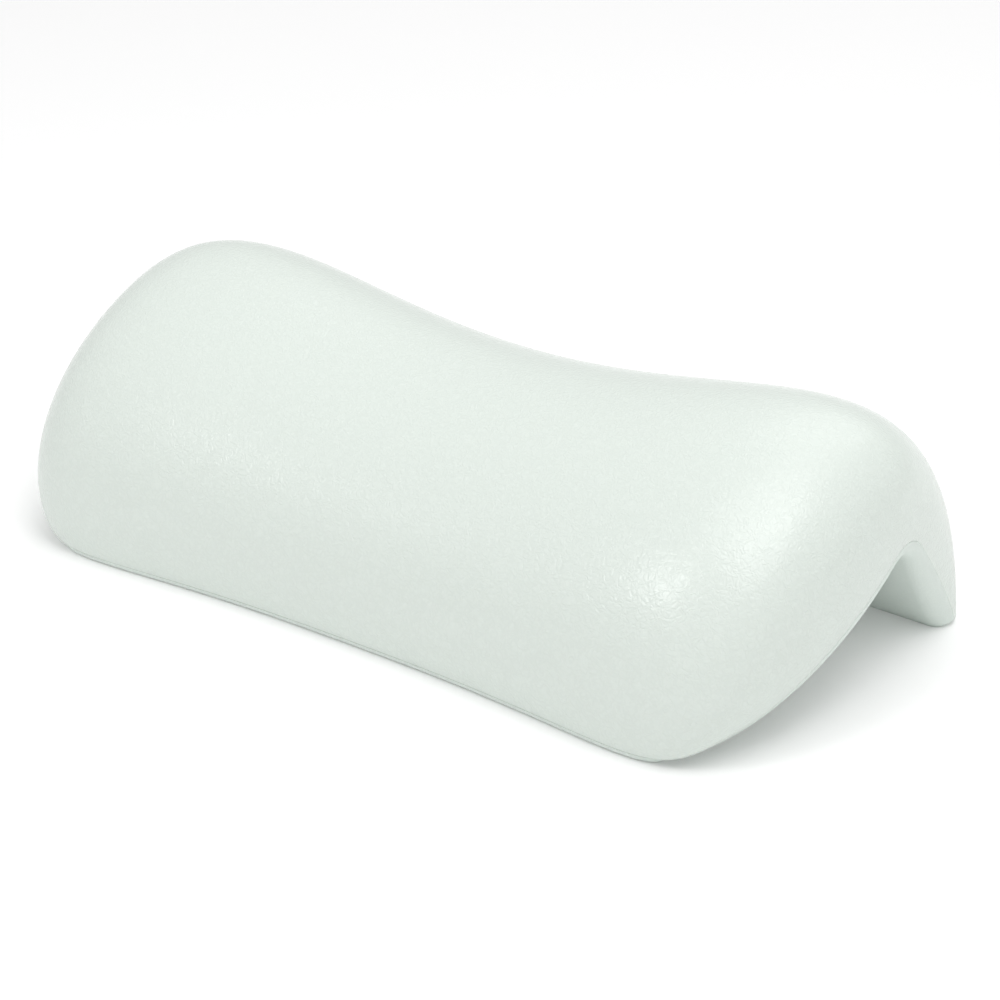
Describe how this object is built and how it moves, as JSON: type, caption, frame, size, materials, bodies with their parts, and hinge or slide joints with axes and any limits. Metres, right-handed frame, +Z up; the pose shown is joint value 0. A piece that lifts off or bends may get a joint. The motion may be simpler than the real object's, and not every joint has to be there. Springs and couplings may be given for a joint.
{
  "type": "bath pillow",
  "caption": "Saddle-shaped moulded bath pillow with raised lobes and a neck dip, grained foam skin, and plug-in suction cups in a channel that sits over a bath rim.",
  "frame": {"origin": "centre of the pillow's box, on the floor that its two soles stand on", "axes": "+X along the pillow, +Y towards the side outside the bath, -Y towards the bather, +Z up"},
  "size_m": [0.34, 0.1636, 0.0915],
  "materials": {
    "grained_skin": "self-skinned polyurethane with a fine leather-like grain, satin, very pale mint white",
    "smooth_skin": "self-skinned polyurethane, smooth, satin, very pale mint white",
    "foam": "soft open-cell polyurethane foam, matt cream",
    "plate_plastic": "moulded polypropylene, matt grey",
    "bush_plastic": "moulded acetal, satin white",
    "cup_vinyl": "soft clear vinyl, glossy"
  },
  "bodies": {
    "pillow": {"outer_skin": "grained_skin", "underside_skin": "smooth_skin", "foam_core": "foam", "arch_plate": "plate_plastic", "wall_bush_left": "bush_plastic", "wall_bush_right": "bush_plastic", "rim_bush_left": "bush_plastic", "rim_bush_right": "bush_plastic"},
    "left_wall_cup": {"wall_cup_left": "cup_vinyl"},
    "right_wall_cup": {"wall_cup_right": "cup_vinyl"},
    "left_rim_cup": {"rim_cup_left": "cup_vinyl"},
    "right_rim_cup": {"rim_cup_right": "cup_vinyl"}
  },
  "joints": [
    {"name": "left_wall_cup_pull", "type": "slide", "parent": "pillow", "child": "left_wall_cup", "axis": [0, 0.4803, -0.8771], "range_m": [0, 0.009]},
    {"name": "right_wall_cup_pull", "type": "slide", "parent": "pillow", "child": "right_wall_cup", "axis": [0, 0.4803, -0.8771], "range_m": [0, 0.009]},
    {"name": "left_rim_cup_pull", "type": "slide", "parent": "pillow", "child": "left_rim_cup", "axis": [0, -0.8251, -0.565], "range_m": [0, 0.009]},
    {"name": "right_rim_cup_pull", "type": "slide", "parent": "pillow", "child": "right_rim_cup", "axis": [0, -0.8251, -0.565], "range_m": [0, 0.009]}
  ]
}
